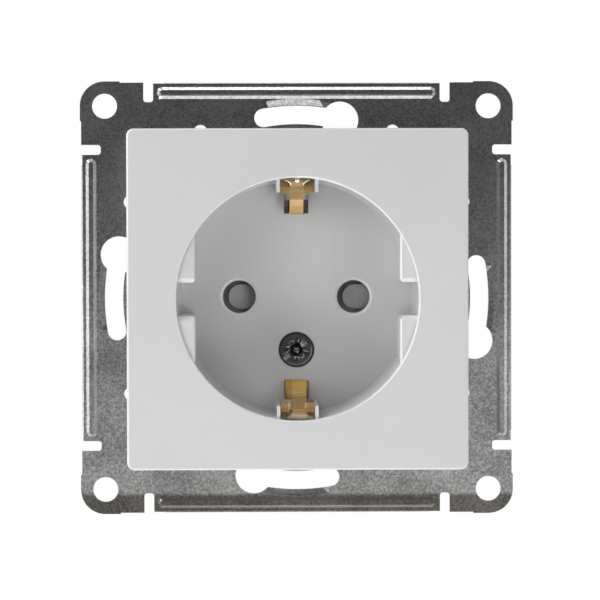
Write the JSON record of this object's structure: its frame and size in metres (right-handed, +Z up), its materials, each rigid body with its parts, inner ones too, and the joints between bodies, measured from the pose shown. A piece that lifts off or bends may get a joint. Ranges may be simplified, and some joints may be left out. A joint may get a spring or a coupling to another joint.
{
  "type": "wall socket",
  "caption": "Square flush wall socket with a round earthed recess on a stamped steel support frame, with a moulded insert and spreading claws behind.",
  "frame": {"origin": "centre of the four corner holes, on the back of the steel support frame, which is the wall plane", "axes": "+Y into the wall, the face looks along -Y, +Z up, +X to the right of who looks at the face"},
  "size_m": [0.071, 0.0416, 0.071],
  "materials": {
    "plate_white": "smooth white moulding with a soft sheen",
    "zinc_steel": "zinc-plated sheet, fine mottled grain",
    "housing_plastic": "matt light grey moulding",
    "lid_plastic": "matt grey moulding",
    "shutter_plastic": "matt grey moulding",
    "brass": "bright stamped brass",
    "bronze": "stamped spring bronze",
    "dark_screw": "dark passivated steel",
    "screw_steel": "bright zinc-plated steel",
    "spring_steel": "bright drawn wire"
  },
  "bodies": {
    "insert": {"cover_plate": "plate_white", "support_frame": "zinc_steel", "base_housing": "housing_plastic", "contact_cover": "lid_plastic", "earth_contact": "brass", "cover_insert": "brass", "line_contact": "bronze", "neutral_contact": "bronze", "cover_screw": "dark_screw", "contact_cover_screws": "screw_steel", "line_screw": "screw_steel", "neutral_screw": "screw_steel", "earth_screw": "screw_steel", "line_clamp": "screw_steel", "neutral_clamp": "screw_steel", "earth_clamp": "screw_steel", "right_claw_screw": "screw_steel", "left_claw_screw": "screw_steel", "right_claw_nut": "screw_steel", "left_claw_nut": "screw_steel", "shutter_spring": "spring_steel"},
    "slide": {"shutter": "shutter_plastic"},
    "right_lever": {"right_claw": "zinc_steel"},
    "left_lever": {"left_claw": "zinc_steel"}
  },
  "joints": [
    {"name": "shutter_slide", "type": "slide", "parent": "insert", "child": "slide", "axis": [-1, 0, 0], "range_m": [0, 0.0063], "stiffness_N_per_m": 100, "springref_m": -0.004, "deforming": ["shutter_spring"]},
    {"name": "right_claw_hinge", "type": "hinge", "parent": "insert", "child": "right_lever", "pos_m": [0.0229, 0.003, 0], "axis": [0, 0, -1], "range_deg": [0, 20]},
    {"name": "left_claw_hinge", "type": "hinge", "parent": "insert", "child": "left_lever", "pos_m": [-0.0229, 0.003, 0], "axis": [0, 0, 1], "range_deg": [0, 20]}
  ]
}
